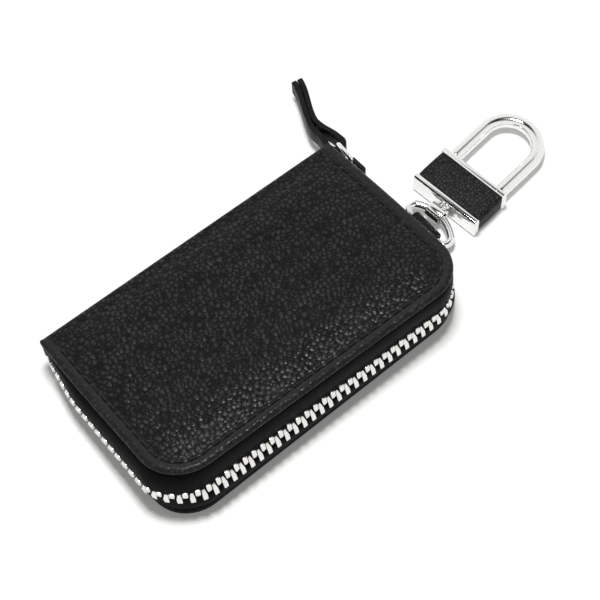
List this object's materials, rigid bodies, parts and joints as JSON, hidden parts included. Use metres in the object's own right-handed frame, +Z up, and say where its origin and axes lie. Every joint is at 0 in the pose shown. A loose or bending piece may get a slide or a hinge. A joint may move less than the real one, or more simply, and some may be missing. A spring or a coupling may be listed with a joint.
{
  "type": "key case",
  "caption": "Zip-around leather key case lying on its back, with a riveted key ring inside and a leather-wrapped swivel hook with a sprung shackle on its end.",
  "frame": {"origin": "middle of the back face that lies on the table", "axes": "+X along the case to the hook end, +Y to the spine fold, +Z up out of the front cover"},
  "size_m": [0.1621, 0.0902, 0.0252],
  "materials": {
    "cover_leather": "pebbled",
    "strap_leather": "fine pebbled",
    "board": "matte pressed board",
    "lining": "woven",
    "tape": "smooth woven",
    "zip_metal": "bright",
    "slider_black": "black lacquer",
    "chrome": "polished",
    "steel": "plated"
  },
  "bodies": {
    "back_half": {"back_cover": "cover_leather", "back_board": "board", "back_lining": "lining", "lower_zip_tape": "tape", "lower_teeth": "zip_metal", "lower_end_teeth": "zip_metal", "lower_stops": "zip_metal", "spine_fold": "cover_leather", "hook_tab": "strap_leather", "key_strap": "strap_leather", "strap_rivet": "steel"},
    "front_half": {"front_cover": "cover_leather", "front_board": "board", "front_lining": "lining", "upper_zip_tape": "tape", "upper_teeth": "zip_metal", "upper_end_teeth": "zip_metal", "upper_stops": "zip_metal"},
    "slider": {"slider_body": "slider_black"},
    "link": {"pull_link": "chrome"},
    "pull": {"pull_strap": "strap_leather"},
    "keys": {"key_ring": "steel"},
    "ring": {"d_ring": "chrome"},
    "swivel": {"swivel_eye": "chrome"},
    "hook": {"base_plate": "chrome", "hook_body": "chrome", "leather_wrap": "strap_leather", "shackle_spring": "steel"},
    "lift": {"lift_washer": "steel"},
    "bow": {"shackle": "chrome", "shackle_collar": "steel"}
  },
  "joints": [
    {"name": "cover_open", "type": "hinge", "parent": "back_half", "child": "front_half", "pos_m": [0, 0.032, 0.008], "axis": [-1, 0, 0], "range_deg": [0, 170], "deforming": ["spine_fold"]},
    {"name": "slider_run", "type": "slide", "parent": "back_half", "child": "slider", "axis": [0.0194, -0.997, 0.0744], "range_m": [0, 0.012], "deforming": ["lower_end_teeth", "upper_end_teeth"]},
    {"name": "pull_swing", "type": "hinge", "parent": "slider", "child": "link", "pos_m": [0.0552, 0.02599, 0.00845], "axis": [0, -0.0744, -0.9972], "range_deg": [-3, 60]},
    {"name": "strap_swing", "type": "hinge", "parent": "link", "child": "pull", "pos_m": [0.05571, 0.03345, 0.00789], "axis": [0, -0.0744, -0.9972], "range_deg": [-25, 15]},
    {"name": "key_ring_swing", "type": "hinge", "parent": "back_half", "child": "keys", "pos_m": [-0.016, 0, 0.0065], "axis": [0, -1, 0], "range_deg": [0, 16]},
    {"name": "ring_swing", "type": "hinge", "parent": "back_half", "child": "ring", "pos_m": [0.05969, -0.0017, 0.0037], "axis": [0, -1, 0], "range_deg": [-60, 20]},
    {"name": "eye_swing", "type": "hinge", "parent": "ring", "child": "swivel", "pos_m": [0.06588, 0.00004, 0.0037], "axis": [0.1338, -0.991, 0], "range_deg": [-35, 40]},
    {"name": "hook_spin", "type": "hinge", "parent": "swivel", "child": "hook", "pos_m": [0.06588, 0.00004, 0.0037], "axis": [0.991, 0.1338, 0], "continuous": true},
    {"name": "shackle_lift", "type": "slide", "parent": "hook", "child": "lift", "axis": [0.991, 0.1338, 0], "range_m": [0, 0.004], "stiffness_N_per_m": 300, "springref_m": -0.003, "deforming": ["shackle_spring"]},
    {"name": "shackle_turn", "type": "hinge", "parent": "lift", "child": "bow", "pos_m": [0.06707, -0.00878, 0.0037], "axis": [0.991, 0.1338, 0], "range_deg": [0, 180]}
  ]
}
